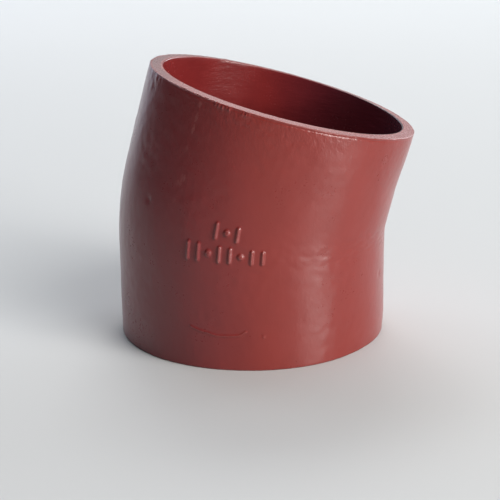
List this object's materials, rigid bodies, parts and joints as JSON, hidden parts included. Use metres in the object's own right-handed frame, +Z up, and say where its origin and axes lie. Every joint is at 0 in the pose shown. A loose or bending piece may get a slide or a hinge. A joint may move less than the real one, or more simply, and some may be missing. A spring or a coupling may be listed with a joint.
{
  "type": "pipe bend",
  "caption": "Short 15 degree cast-iron drainage bend with plain ends for couplings, an open bore and a red-brown epoxy coat.",
  "frame": {"origin": "on the surface that the bend stands on, under the middle of the whole bend's box", "axes": "+Z up along the lower leg's axis, +X the way the upper leg leans, -Y the side with the raised marks"},
  "size_m": [0.121, 0.1108, 0.1125],
  "materials": {
    "cast_iron": "as cast, dark grey",
    "epoxy_outside": "red-brown epoxy, semi-gloss, orange peel over sand-cast grain",
    "epoxy_bore": "red-brown epoxy, smooth and glossy",
    "epoxy_upper_end": "red-brown epoxy over a sawn face",
    "epoxy_lower_end": "red-brown epoxy over a sawn face"
  },
  "bodies": {
    "root": {"iron_casting": "cast_iron", "outside_coating": "epoxy_outside", "bore_lining": "epoxy_bore", "upper_end_film": "epoxy_upper_end", "lower_end_film": "epoxy_lower_end"}
  },
  "joints": []
}
